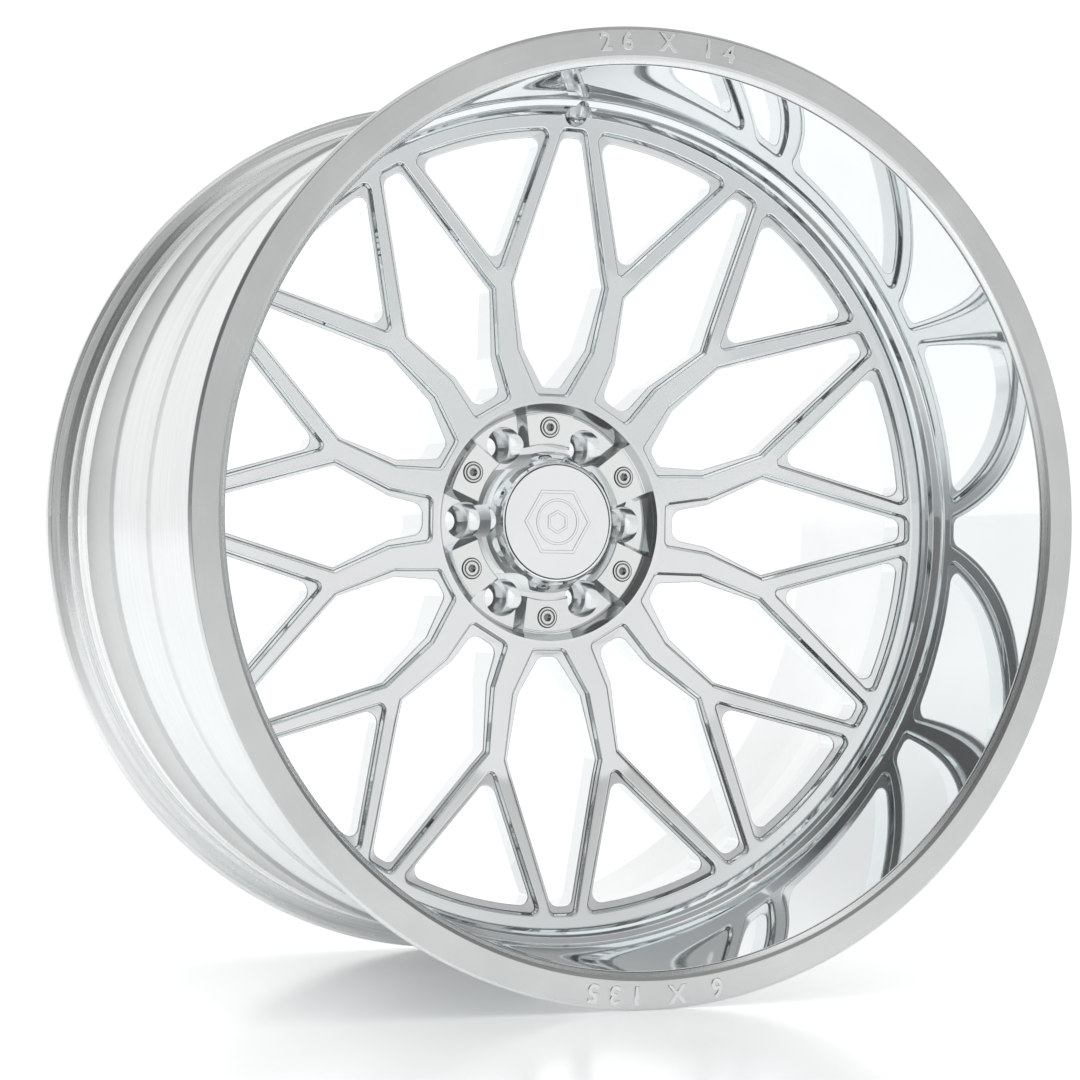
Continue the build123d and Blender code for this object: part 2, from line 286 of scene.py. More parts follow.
def metal(name, look):
    # Polished or turned metal: haze and tool lines vary the roughness, two tones vary the colour, and a bump
    # carries the lines and scratches.
    m = bpy.data.materials.new(name)
    m.use_nodes = True
    t = m.node_tree
    t.nodes.clear()
    out = node(t, "ShaderNodeOutputMaterial")
    p = node(t, "ShaderNodeBsdfPrincipled", {"Metallic": look.get("metallic", 1.0)})
    hz = node(t, "ShaderNodeGroup", {}, node_tree=buff)
    hz.inputs["Scale"].default_value = look.get("haze", 45.0)
    tl = node(t, "ShaderNodeGroup", {}, node_tree=turned)
    tl.inputs["Lines"].default_value = look.get("lines", 900.0)
    tl.inputs["Patch"].default_value = look.get("patch", 9.0)
    low, high = look["rough"]
    mix = math1(t, "ADD", math1(t, "MULTIPLY", hz.outputs["Haze"], 0.5),
                math1(t, "MULTIPLY", tl.outputs["Height"], 0.5))
    rough = mapRange(t, mix, 0.3, 0.7, low, high)
    a, b = look["colour"]
    vary = math1(t, "ADD", math1(t, "MULTIPLY", tl.outputs["Cloud"], 1.0 - look.get("streak", 0.0)),
                 math1(t, "MULTIPLY", tl.outputs["Height"], look.get("streak", 0.0)))
    ramp = node(t, "ShaderNodeMix", {0: mapRange(t, vary, 0.3, 0.7, 0.0, 1.0)}, data_type="RGBA")
    ramp.inputs[6].default_value = (*a, 1)
    ramp.inputs[7].default_value = (*b, 1)
    colour = ramp.outputs[2]
    if "zones" in look:
        zn = node(t, "ShaderNodeGroup", {}, node_tree=zones)
        zn.inputs["Soft"].default_value = look.get("soft", 0.00015)
        for mask, (shade, gloss) in look["zones"].items():
            inZone = zn.outputs[mask]
            tint = node(t, "ShaderNodeMix", {0: inZone, 6: colour, 7: (*shade, 1)}, data_type="RGBA")
            colour = tint.outputs[2]
            rough = node(t, "ShaderNodeMix", {0: inZone, 2: rough, 3: gloss}, data_type="FLOAT").outputs[0]
    height = math1(t, "ADD", math1(t, "MULTIPLY", tl.outputs["Height"], look.get("turned", 0.0)),
                   math1(t, "MULTIPLY", hz.outputs["Scratch"], look.get("scratch", 0.0)))
    bump = node(t, "ShaderNodeBump",
                {"Height": height, "Strength": 1.0, "Distance": look.get("bump", 0.00002)})
    if "brushed" in look:
        p.inputs["Anisotropic"].default_value = look["brushed"]
        aboutAxis = node(t, "ShaderNodeTangent", direction_type="RADIAL", axis="Y")
        t.links.new(aboutAxis.outputs[0], p.inputs["Tangent"])
    t.links.new(rough, p.inputs["Roughness"])
    t.links.new(colour, p.inputs["Base Color"])
    t.links.new(bump.outputs[0], p.inputs["Normal"])
    t.links.new(p.outputs[0], out.inputs[0])
    return m


# Each tone is a pair, the darker and the lighter side of its own slow variation.
grey = {
    "bright": ((0.885, 0.905, 0.91), (0.925, 0.945, 0.95)),
    "wall": ((0.845, 0.87, 0.88), (0.88, 0.905, 0.915)),
    "face": ((0.835, 0.855, 0.855), (0.885, 0.905, 0.905)),
    "lip": ((0.63, 0.645, 0.64), (0.74, 0.75, 0.745)),
    "mark": ((0.70, 0.715, 0.71), (0.78, 0.79, 0.785)),
    "barrel": ((0.71, 0.73, 0.73), (0.83, 0.85, 0.85)),
    "flange": ((0.68, 0.695, 0.69), (0.98, 0.99, 0.99)),
    "band": ((0.54, 0.555, 0.55), (0.64, 0.655, 0.65)),
    "inner": ((0.87, 0.89, 0.89), (0.93, 0.95, 0.95)),
    # Painted dark line tone: stands in for reflections of dark surroundings and for shade in corners.
    "line": ((0.26, 0.275, 0.275), (0.38, 0.395, 0.395)),
    "disc": ((0.90, 0.92, 0.92), (0.95, 0.97, 0.97)),
    "emblem": ((0.34, 0.35, 0.35), (0.42, 0.43, 0.43)),
    "screw": ((0.74, 0.75, 0.75), (0.84, 0.85, 0.85)),
    "spring": ((0.45, 0.45, 0.46), (0.55, 0.55, 0.56)),
    "rubber": ((0.015, 0.015, 0.016), (0.03, 0.03, 0.031)),
}
# Zones are (colour, roughness).
# Painted shade: a near-black for the screw recesses, head rings, sockets and the groove at the disc's edge,
# where shade falls.
grooveShade = ((0.045, 0.048, 0.05), 0.3)
# Painted reflection: the hub's bevel ring gets a darker grey, standing in for the dark surroundings it
# reflects.
bevelShade = ((0.52, 0.535, 0.535), 0.12)
hubPad = ((0.90, 0.915, 0.91), 0.12)
looks = {
    "mirror": {"colour": grey["wall"], "rough": (0.015, 0.035), "metallic": 0.95,
               "scratch": 0.25, "bump": 0.000006},
    # The hub takes the bevel's painted darker reflection tone and painted shade in its screw rings.
    "hubPolish": {"colour": grey["bright"], "rough": (0.07, 0.13), "metallic": 0.86,
                  "scratch": 0.25, "bump": 0.000006,
                  "zones": {"Bevel": bevelShade, "Pad": hubPad, "Rings": grooveShade}},
    # Painted dark line: thin rows at window edges, ledge corners and the lip's foot and inner edge, standing
    # in for dark reflections and corner shade.
    "paintedDarkLine": {"colour": grey["line"], "rough": (0.06, 0.12), "metallic": 0.95},
    "faceSatin": {"colour": grey["face"], "rough": (0.11, 0.17), "scratch": 0.3, "bump": 0.000006},
    "ledgeBright": {"colour": grey["bright"], "rough": (0.06, 0.12), "metallic": 0.9,
                    "scratch": 0.3, "bump": 0.000006},
    "lipSatin": {"colour": grey["lip"], "rough": (0.26, 0.34), "brushed": 0.7,
                 "turned": 1.0, "lines": 1100.0, "bump": 0.00001},
    "markFace": {"colour": grey["mark"], "rough": (0.18, 0.26), "scratch": 0.3, "bump": 0.000006},
    "barrelTurned": {"colour": grey["barrel"], "rough": (0.14, 0.24),
                     "turned": 1.0, "lines": 420.0, "streak": 0.6, "bump": 0.00002},
    "innerBarrel": {"colour": grey["inner"], "rough": (0.12, 0.2),
                    "turned": 1.0, "lines": 420.0, "bump": 0.00001},
    "flangeTurned": {"colour": grey["flange"], "rough": (0.22, 0.3), "metallic": 0.88,
                     "turned": 1.0, "lines": 300.0, "streak": 1.0, "bump": 0.00001},
    "bandSatin": {"colour": grey["band"], "rough": (0.26, 0.34),
                  "turned": 1.0, "lines": 700.0, "streak": 0.4, "bump": 0.000015},
    # The chrome ring and the disc take painted shade at the disc's edge groove, and the screws take it in
    # their recesses and sockets.
    "chrome": {"colour": grey["bright"], "rough": (0.03, 0.07), "metallic": 0.92,
               "scratch": 0.1, "bump": 0.000004, "zones": {"Rim": grooveShade}, "soft": 0.00005},
    "discSatin": {"colour": grey["disc"], "rough": (0.13, 0.17), "brushed": 0.25,
                  "turned": 0.6, "lines": 1600.0, "bump": 0.000002, "zones": {"Rim": grooveShade}, "soft": 0.00005},
    "emblemLine": {"colour": grey["emblem"], "rough": (0.12, 0.18)},
    "screwSteel": {"colour": grey["screw"], "rough": (0.08, 0.15), "metallic": 0.9,
                   "scratch": 0.3, "bump": 0.000008, "zones": {"Rings": grooveShade}},
    "springSteel": {"colour": grey["spring"], "rough": (0.25, 0.35), "scratch": 0.3, "bump": 0.000008},
    "rubber": {"colour": grey["rubber"], "rough": (0.45, 0.6), "metallic": 0.0,
               "scratch": 0.3, "bump": 0.00001},
}
mats = {k: metal(k, v) for k, v in looks.items()}
print("materials made")

# ---- windows: half outlines as corners (along, across) with a rounding each, then lofts from the face to
# the rear. An outline ends on a circle about the wheel's axis.
windows = {
    "neck": {
        "edge": [(98.0, 17.0), (133.7, 22.4), (179.6, 41.9), (294.0, 11.7)], "edgeRho": (5.0, 2.5, 2.5, 6.0),
        "hole": [(105.5, 11.0), (133.7, 16.5), (179.6, 38.0), (290.0, 8.5)], "holeRho": (9.0, 4.0, 4.0, 7.0),
    },
    "taper": {
        "edge": [(97.0, 13.0), (131.0, 31.8), (182.0, 40.8), (294.0, 11.7)], "edgeRho": (5.0, 2.5, 2.5, 6.0),
        "hole": [(103.5, 7.0), (133.0, 26.0), (182.0, 37.0), (290.0, 8.5)], "holeRho": (6.5, 4.0, 4.0, 7.0),
    },
    "fork": {
        "edge": [(193.0, 0.0), (293.0, 59.5)], "edgeRho": (4.5, 6.0),
        "hole": [(200.5, 0.0), (287.0, 51.5)], "holeRho": (8.0, 7.0),
    },
    "edgeOuter": 298.5, "holeOuter": 292.0,
}
bevel = {"edge": 0.9, "draft": 1.2, "ledgeDepth": 3.5, "foot": 0.7, "holeEdge": 0.8, "rearEdge": 1.6,
         "holeDraft": 1.0}
counts = {"flat": 5, "corner": 5, "side": 10, "bend": 3, "arm": 26, "end": 8}
# A spoke's stem forks into two arms, whose middle lines meet the ring's border at the arm's angle.
stemAngle = math.radians(15.0)
forkRadius = 188.5
armEnd = 300.2
armAngle = math.radians(2.84)


def polar(r, a):
    return np.array([r * math.cos(a), r * math.sin(a)])


forkPoint = polar(forkRadius, stemAngle)
armPoint = polar(armEnd, armAngle)


def lineTo(a, b, n):
    # Even points from a toward b, without the last one.
    t = np.arange(n)[:, None] / n
    return np.asarray(a, float) * (1 - t) + np.asarray(b, float) * t


def arcTo(c, a, b, n):
    # Points about c from a to b along the shorter way, without the last one.
    p, q = np.asarray(a) - c, np.asarray(b) - c
    s = math.atan2(p[1], p[0])
    d = (math.atan2(q[1], q[0]) - s + math.pi) % (2 * math.pi) - math.pi
    ang = s + d * np.arange(n) / n
    return c + np.hypot(*p) * np.stack([np.cos(ang), np.sin(ang)], -1)


def cornerOf(p0, p1, p2, rho):
    # The arc that rounds p1: centre and both tangent points.
    a, b = (p0 - p1) / np.linalg.norm(p0 - p1), (p2 - p1) / np.linalg.norm(p2 - p1)
    half = math.acos(a @ b) / 2
    back = rho / math.tan(half)
    centre = p1 + (a + b) / np.linalg.norm(a + b) * rho / math.sin(half)
    return centre, p1 + a * back, p1 + b * back


def endOf(p0, p1, outer, rho):
    # The arc between a straight side and the end circle about the wheel axis.
    d = (p1 - p0) / np.linalg.norm(p1 - p0)
    m = np.array([d[1], -d[0]])
    m = m if m[1] < 0 else -m
    s = p0 + m * rho
    k = s @ d
    t = -k + math.sqrt(k * k - (s @ s - (outer - rho) ** 2))
    c = s + t * d
    return c, p0 + t * d, c * outer / np.linalg.norm(c)


def halfContour(points, rhos, outer):
    # From the inner end on the window's axis to the outer end on it. The inner end is flat, or for a fork
    # an arc between both arms.
    pts = [np.array(p, float) for p in points]
    k = counts
    seg = []
    if pts[0][1] > 0:
        corners = [cornerOf(np.array([pts[0][0], 0.0]), pts[0], pts[1], rhos[0])]
        corners += [cornerOf(pts[i - 1], pts[i], pts[i + 1], rhos[i]) for i in range(1, len(pts) - 1)]
        seg.append(lineTo([pts[0][0], 0.0], corners[0][1], k["flat"]))
        ns = (k["corner"], k["bend"], k["bend"])
        runs = (k["side"], k["side"], k["arm"])
    else:
        d = (pts[1] - pts[0]) / np.linalg.norm(pts[1] - pts[0])
        c = np.array([pts[0][0] + rhos[0] / d[1], 0.0])
        foot = pts[0] + d * ((c - pts[0]) @ d)
        seg.append(arcTo(c, [c[0] - rhos[0], 0.0], foot, 2 * k["corner"]))
        corners, ns, runs = [(c, foot, foot)], (0,), (k["arm"],)
    c, onSide, onEnd = endOf(pts[-2], pts[-1], outer, rhos[-1])
    for i, (cc, a, b) in enumerate(corners):
        if ns[i]:
            seg.append(arcTo(cc, a, b, 2 * ns[i]))
        nxt = corners[i + 1][1] if i + 1 < len(corners) else onSide
        seg.append(lineTo(b, nxt, runs[i]))
    seg.append(arcTo(c, onSide, onEnd, 2 * k["corner"]))
    seg.append(arcTo(np.zeros(2), onEnd, [outer, 0.0], k["end"]))
    seg.append(np.array([[outer, 0.0]]))
    return np.concatenate(seg)


def circleRun(r, a, b, n):
    # Points on a circle about the wheel's axis from one angle toward another, without the last one.
    ang = a + (b - a) * np.arange(n) / n
    return r * np.stack([np.cos(ang), np.sin(ang)], -1)


def halfBorder(kind, inner):
    # The middle lines of the metal round a window: hub circle, stem, arm, ring circle.
    k = counts
    s = stemAngle
    near = forkPoint + (armPoint - forkPoint) * 0.035
    far = forkPoint + (armPoint - forkPoint) * 0.94
    if kind == "fork":
        # Mirrored into the spoke's own axes.
        turn = np.array([[math.cos(s), math.sin(s)], [math.sin(s), -math.cos(s)]])
        near, far, tip, start = (turn @ v for v in (near, far, armPoint, forkPoint))
        tipAngle = s - armAngle
        seg = [lineTo(start, near, 2 * k["corner"]), lineTo(near, far, k["arm"]),
               lineTo(far, tip, k["corner"]),
               circleRun(armEnd, tipAngle, tipAngle * 0.8, k["corner"]),
               circleRun(armEnd, tipAngle * 0.8, 0.0, k["end"])]
    else:
        # Radii along the stem, each with the number of points up to the next.
        stem = [(inner, k["corner"]), (inner + 6.0, k["side"]), (131.0, 2 * k["bend"]), (135.0, k["side"]),
                (184.0, k["bend"]), (forkRadius, 0)]
        seg = [circleRun(inner, 0.0, s * 0.5, k["flat"]), circleRun(inner, s * 0.5, s, k["corner"])]
        seg += [lineTo(polar(a, s), polar(b, s), n) for (a, n), (b, _) in zip(stem, stem[1:])]
        seg += [lineTo(forkPoint, near, k["bend"]), lineTo(near, far, k["arm"]),
                lineTo(far, armPoint, k["corner"]), circleRun(armEnd, armAngle, armAngle * 0.6, k["corner"]),
                circleRun(armEnd, armAngle * 0.6, 0.0, k["end"])]
    return np.concatenate(seg + [np.array([[armEnd, 0.0]])])


def inwardOf(half):
    # Unit normals of a half outline toward the window's middle; the outline is symmetric about its axis.
    ext = np.concatenate([half[1:2] * [1, -1], half, half[-2:-1] * [1, -1]])
    d = ext[2:] - ext[:-2]
    n = np.stack([d[:, 1], -d[:, 0]], -1)
    n /= np.linalg.norm(n, axis=1, keepdims=True)
    mid = np.array([half[:, 0].mean(), 0.0])
    sign = np.sign(np.sum((mid - half) * n, axis=1))
    return n * np.where(sign == 0, 1, sign)[:, None]


forgedMats = [mats[k] for k in ("faceSatin", "mirror", "ledgeBright", "barrelTurned", "paintedDarkLine")]
faceRow, wallRow, ledgeRow, rearRow, paintedLineRow = range(5)


def windowRows(kind):
    # Rows of the loft for one half window: face, rounded edge, drafted wall, ledge, opening and rear.
    # A quarter round takes three rows. The last row of the face's and the hole's edge roundings and all rows
    # of the ledge's foot take a painted dark line, standing in for dark reflections and corner shade.
    w, b = windows[kind], bevel
    quarter = np.radians((30.0, 60.0, 90.0))
    edge = halfContour(w["edge"], w["edgeRho"], windows["edgeOuter"])
    hole = halfContour(w["hole"], w["holeRho"], windows["holeOuter"])
    border = halfBorder(kind, wheel["hubBorder"])
    ne, nh = inwardOf(edge), inwardOf(hole)
    rows, mat = [], []

    def add(xy, y, m):
        rows.append(np.concatenate([xy, y[:, None]], 1))
        mat.append(m)

    def rad(xy):
        return np.hypot(xy[:, 0], xy[:, 1])

    out = edge - ne * b["edge"]
    for t in (0.0, 0.25, 0.5, 0.75, 1.0):
        xy = border * (1 - t) + out * t
        add(xy, faceDepth(rad(xy)), faceRow)
    base = faceDepth(rad(edge))
    # The last row of the face's edge rounding takes the painted dark line.
    for a in quarter:
        xy = edge + ne * b["edge"] * (math.sin(a) - 1)
        add(xy, base + b["edge"] * (1 - math.cos(a)), paintedLineRow if a == quarter[-1] else wallRow)
    foot = b["ledgeDepth"] - b["foot"]
    add(edge + ne * b["draft"], base + foot, wallRow)
    # The ledge's foot, its corner with the wall, takes the painted dark line in every row: painted shade in
    # the corner.
    for a in quarter:
        xy = edge + ne * (b["draft"] + b["foot"] * (1 - math.cos(a)))
        add(xy, base + foot + b["foot"] * math.sin(a), paintedLineRow)
    lip = hole - nh * b["holeEdge"]
    ledgeY = faceDepth(rad(lip)) + b["ledgeDepth"]
    start = edge + ne * (b["draft"] + b["foot"])
    for t in (0.5, 1.0):
        xy = start * (1 - t) + lip * t
        add(xy, (base + b["ledgeDepth"]) * (1 - t) + ledgeY * t, ledgeRow)
    # The last row of the hole's edge rounding takes the painted dark line.
    for a in quarter:
        xy = hole + nh * b["holeEdge"] * (math.sin(a) - 1)
        add(xy, ledgeY + b["holeEdge"] * (1 - math.cos(a)), paintedLineRow if a == quarter[-1] else wallRow)
    rearXY = hole - nh * b["holeDraft"]
    rearY = rearDepth(rad(rearXY))
    top = ledgeY + b["holeEdge"]
    for t in (0.33, 0.67, 1.0):
        xy = hole * (1 - t) + rearXY * t
        add(xy, top * (1 - t) + (rearY - b["rearEdge"]) * t, wallRow)
    for a in quarter:
        xy = rearXY - nh * b["rearEdge"] * (1 - math.cos(a))
        add(xy, rearY - b["rearEdge"] * (1 - math.sin(a)), wallRow)
    start = rearXY - nh * b["rearEdge"]
    for t in (0.25, 0.5, 0.75, 1.0):
        xy = start * (1 - t) + border * t
        add(xy, rearDepth(rad(xy)), rearRow)
    return np.stack(rows), np.array(mat[1:])


def placed(rows, angle, mirrored=False):
    # Rows of (along, across, depth) turned to an angle about the wheel axis, as (X, Y, Z).
    u, v, y = rows[..., 0], rows[..., 1] * (-1 if mirrored else 1), rows[..., 2]
    a = math.radians(angle)
    return np.stack([u * math.cos(a) - v * math.sin(a), y, u * math.sin(a) + v * math.cos(a)], -1)


# A spoke is two halves of the wide windows beside it and both halves of its own fork.
loft = {k: windowRows(k) for k in ("neck", "taper", "fork")}
for k in range(12):
    axis = 15.0 + 30.0 * k
    low, high = ("neck", "taper") if k % 2 == 0 else ("taper", "neck")
    halves = [(low, axis - 15.0, False), (high, axis + 15.0, True),
              ("fork", axis, False), ("fork", axis, True)]
    grids = []
    for kind, angle, mirrored in halves:
        rows, rowMats = loft[kind]
        grids.append({"p": placed(rows, angle, mirrored), "mat": rowMats, "flip": not mirrored})
    spoke = f"spoke_{k + 1:02d}"
    surface(spoke + "_forged", grids, forgedMats, "wheel", (spoke,))
print("spokes made")

# ---- rim: one profile turned about the axis, as corners (radius, depth) with a rounding each
barrelRun = 326.7
profile = {
    # from the ring's border over the foot and the lip's wall to the front flange
    "front": [(300.2, -33.2), (307.7, -34.8), (308.4, -37.2), (310.0, -39.8), (311.8, -41.6), (313.2, -47.0),
              (318.8, -50.5), (319.0, -66.0), (320.8, -186.3), (324.5, -189.8), (327.0, -191.3),
              (345.5, -191.3), (347.7, -189.1), (347.7, -184.3), (345.2, -181.8), (338.7, -180.3)],
    "frontRho": [0, 0.8, 0.7, 0.8, 1.2, 2.0, 4.0, 0, 2.5, 2.5, 1.2, 1.2, 1.2, 1.5, 1.5, 4],
    # the tyre's side: bead seat and hump, barrel, band, hump and bead seat, rear flange
    "outside": [(332.7, -177.3), (331.2, -173.3), (330.2, -157.3), (331.8, -153.3), (330.2, -149.3),
                (barrelRun, -139.3), (barrelRun, -32.0), (325.0, -12.0), (324.2, 10.0), (324.8, 30.0),
                (327.6, 67.0), (329.8, 70.0), (329.8, 133.3), (328.0, 135.3), (328.0, 139.3), (330.2, 149.3),
                (331.8, 153.3), (330.2, 157.3), (331.2, 173.3), (332.7, 177.3), (338.7, 180.3),
                (345.2, 181.8), (347.7, 184.3), (347.7, 189.3), (345.7, 191.3), (325.0, 191.3)],
    "outsideRho": [3, 3, 2, 2, 4, 12, 80, 80, 80, 80, 1.2, 1.0, 1.2, 1.2, 2, 4, 2, 2, 3, 3, 4, 1.5, 1.5, 1.5,
                   1.2, 1.5],
    # the brake's side, back to the ring's border
    "inside": [(323.6, 185.3), (323.4, 110.0), (322.5, 85.0), (320.3, 60.0), (319.0, 31.0), (313.0, 23.0),
               (305.5, 18.0), (302.6, 12.6), (300.2, 6.1)],
    "insideRho": [3, 60, 40, 30, 8, 6, 6, 3, 0],
}


def subdivided(line, longest):
    # The same line with extra points, so that no step is longer than the limit.
    n = np.maximum(1, np.ceil(np.linalg.norm(np.diff(line, axis=0), axis=1) / longest).astype(int))
    return np.concatenate([lineTo(line[i], line[i + 1], n[i]) for i in range(len(n))] + [line[-1:]])


def revolved(profilePoints, angles):
    # X and Z are the radius times cosine and sine of the angle, Y is the depth.
    r, y = profilePoints[:, :1], profilePoints[:, 1:]
    return np.stack([r * np.cos(angles), np.broadcast_to(y, (len(y), len(angles))), r * np.sin(angles)], -1)


def quadMiddles(p):
    return (p[1:, 1:] + p[:-1, :-1] + p[1:, :-1] + p[:-1, 1:]) / 4


section = filletPath(profile["front"] + profile["outside"] + profile["inside"],
                     profile["frontRho"] + profile["outsideRho"] + profile["insideRho"], 4)
section = subdivided(section, 14.0)
insideRows = len(section) - 1 - int(np.argmax((section[:, 1] > halfWidth - 0.6) & (section[:, 0] < 327.0)))
turns = 540
theta = np.linspace(0, 2 * math.pi, turns, endpoint=False)

# Finish of each row of the profile, by where its middle lies. The later a rule, the stronger it is.
rimMats = [mats[k] for k in ("lipSatin", "mirror", "barrelTurned", "bandSatin", "innerBarrel", "flangeTurned",
                             "paintedDarkLine")]
lipRow, mirrorRow, barrelRow, bandRow, insideRow, flangeRow, paintedDarkRow = range(7)
rowR, rowY = ((section[1:] + section[:-1]) / 2).T
rowMat = np.full(len(rowR), barrelRow)
rowMat[(rowY > 66.0) & (rowY < 135.0) & (rowR > 325.0)] = bandRow
rowMat[((rowR < 323.0) & (rowY < -40.0)) | ((rowR < 312.0) & (rowY < -33.0))] = mirrorRow
rowMat[(rowY < -190.2) & (rowR > 325.5)] = lipRow
rowMat[(rowY > 135.0) & (rowR > 326.0)] = flangeRow
# Painted dark lines: two thin rows at the foot of the lip's wall and one at the lip's inner edge take a dark
# tone standing in for dark reflections and corner shade.
atFoot = (rowY < -30.0) & (rowY > -60.0)
rowMat[atFoot & (((rowR > 307.8) & (rowR < 309.2)) | ((rowR > 312.0) & (rowR < 313.0)))] = paintedDarkRow
rowMat[(rowR > 322.2) & (rowR < 324.4) & (rowY < -187.0)] = flangeRow
rowMat[(rowR > 321.0) & (rowR < 322.2) & (rowY < -185.0)] = paintedDarkRow
rowMat[len(rowMat) - insideRows:] = insideRow

# The valve's relief is a ball-ended cylinder cut into the foot of the lip's wall, with the valve's hole in
# its end. The foot and the run outside it leave a gap at the top, which a fine patch fills.
valve = {"centre": (-37.5, 309.0), "tilt": 15.0, "radius": 9.5, "reach": 13.0, "hole": 5.65, "halfAngle": 2.3,
         "columns": 84, "step": 0.45}
footEnd = int(np.argmax((section[:, 1] < -64.0) & (section[:, 0] > 318.0)))
foot = section[:footEnd + 1]
middle = math.pi / 2
gap = math.radians(valve["halfAngle"])
footAngles = np.linspace(middle + gap, middle + 2 * math.pi - gap, turns)
patchAngles = np.linspace(middle - gap, middle + gap, valve["columns"])
tilt = math.radians(valve["tilt"])
reliefAxis = np.array([0.0, -math.sin(tilt), math.cos(tilt)])
reliefFrom = np.array([0.0, *valve["centre"]])


def offAxis(p):
    # Distance along the relief's axis and away from it.
    d = p - reliefFrom
    h = d @ reliefAxis
    return h, np.linalg.norm(d - h[..., None] * reliefAxis, axis=-1)


def reliefGap(p):
    # Distance to a capped cylinder with a ball end at its start, negative inside.
    h, away = offAxis(p)
    ball = np.linalg.norm(p - reliefFrom, axis=-1) - valve["radius"]
    return np.where(h < 0, ball, np.maximum(away - valve["radius"], h - valve["reach"]))


# Points inside the relief slide into the metal along the wall's own normal until they leave it.
patch = revolved(subdivided(foot, valve["step"]), patchAngles)
into = gridNormals(patch, False)
into = np.where((into[..., 1:2] + (into[..., 2:] > 0)) > 0, into, -into)
inside = reliefGap(patch) < 0
for _ in range(60):
    patch = patch + into * np.where(inside, np.clip(-reliefGap(patch), 0, None), 0)[..., None]
along, away = offAxis(quadMiddles(patch))
keepPatch = ~((away < valve["hole"]) & (along > valve["reach"] - 3.0))

# The hole's rows start on the relief's end and finish on the barrel's own cylinder, with a small rounding at
# both ends.
holeAngle = np.linspace(0, 2 * math.pi, 48, endpoint=False)
sideways = np.array([1.0, 0, 0])
ringOf = np.cos(holeAngle)[:, None] * sideways + np.sin(holeAngle)[:, None] * np.cross(reliefAxis, sideways)
reliefEnd = reliefFrom + reliefAxis * valve["reach"]
holeGrid = [reliefEnd + reliefAxis * h + ringOf * (valve["hole"] + wider)
            for wider, h in ((0.9, 0.0), (0.35, -0.05), (0.1, 0.15), (0.0, 0.5))]
for wider, h in ((0.0, -0.4), (0.1, -0.1), (0.35, 0.02), (0.9, 0.01)):
    row = reliefEnd + ringOf * (valve["hole"] + wider)
    for _ in range(8):
        row = row + reliefAxis * (barrelRun + h - np.hypot(row[:, 0], row[:, 2]))[:, None]
    holeGrid.append(row)

onRun = (np.abs(section[:, 0] - barrelRun) < 0.05) & (section[:, 1] > -64.0) & (section[:, 1] < -30.0)
outFrom, outTo = np.flatnonzero(onRun)[[0, -1]]
outRun = section[outFrom:outTo + 1]
outPatch = revolved(subdivided(outRun, valve["step"]), patchAngles)
outKeep = offAxis(quadMiddles(outPatch))[1] > valve["hole"] + 0.3

wallToHole = section[footEnd:outFrom + 1]
rimGrids = [{"p": revolved(wallToHole, theta), "closed": True, "mat": rowMat[footEnd:outFrom]},
            {"p": revolved(section[outTo:], theta), "closed": True, "mat": rowMat[outTo:]},
            {"p": revolved(outRun, footAngles), "mat": rowMat[outFrom:outTo]},
            {"p": outPatch, "mat": barrelRow, "keep": outKeep},
            {"p": revolved(foot, footAngles), "mat": rowMat[:footEnd]},
            {"p": patch, "mat": mirrorRow, "keep": keepPatch},
            {"p": np.stack(holeGrid), "closed": True, "mat": mirrorRow}]
surface("rim_forged", rimGrids, rimMats, "wheel", ("rim_barrel",))
print("rim made", len(section), "rows")


# ---- generic size marks on the lip and an emblem on the cap disc
marks = {"size": 17.94, "spacing": 1.9, "raise": 0.35, "round": 0.45, "grow": 0.25, "radius": 336.6,
         "sunk": 0.1}


def flatPart(name, curve, bend, base, lift, materials, body):
    # A text or flat curve drawn in x and y, then laid on the wheel: x along the arc or across, y outward,
    # z toward the viewer. Its flat face takes the first material and its rounded sides the second.
    maker = bpy.data.objects.new(name + "_maker", curve)
    scene.collection.objects.link(maker)
    mesh = bpy.data.meshes.new_from_object(maker.evaluated_get(bpy.context.evaluated_depsgraph_get()))
    bpy.data.objects.remove(maker)
    p = np.empty(len(mesh.vertices) * 3)
    mesh.vertices.foreach_get("co", p)
    p = p.reshape(-1, 3)
    if bend:
        angle, radius = bend
        a = math.radians(angle) - p[:, 0] / radius
        x, z = (radius + p[:, 1]) * np.cos(a), (radius + p[:, 1]) * np.sin(a)
    else:
        x, z = p[:, 0], p[:, 1]
    q = np.stack([x, base - lift - p[:, 2], z], -1) * mm
    mesh.vertices.foreach_set("co", q.ravel())
    mesh.update()
    n = np.empty(len(mesh.polygons) * 3)
    mesh.polygons.foreach_get("normal", n)
    flat = np.abs(n.reshape(-1, 3)[:, 1]) > 0.95
    mesh.materials.clear()
    for m in materials:
        mesh.materials.append(m)
    mesh.polygons.foreach_set("material_index", np.where(flat, 0, 1).astype(np.int32))
    mesh.name = name
    obj = bpy.data.objects.new(name, mesh)
    scene.collection.objects.link(obj)
    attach(obj, body)


def letters(name, text):
    curve = bpy.data.curves.new(name, "FONT")
    curve.body = text
    curve.size = marks["size"]
    curve.extrude = marks["raise"]
    curve.bevel_depth = marks["round"]
    curve.bevel_resolution = 1
    curve.offset = marks["grow"]
    curve.align_x = "CENTER"
    curve.align_y = "CENTER"
    curve.space_character = marks["spacing"]
    return curve


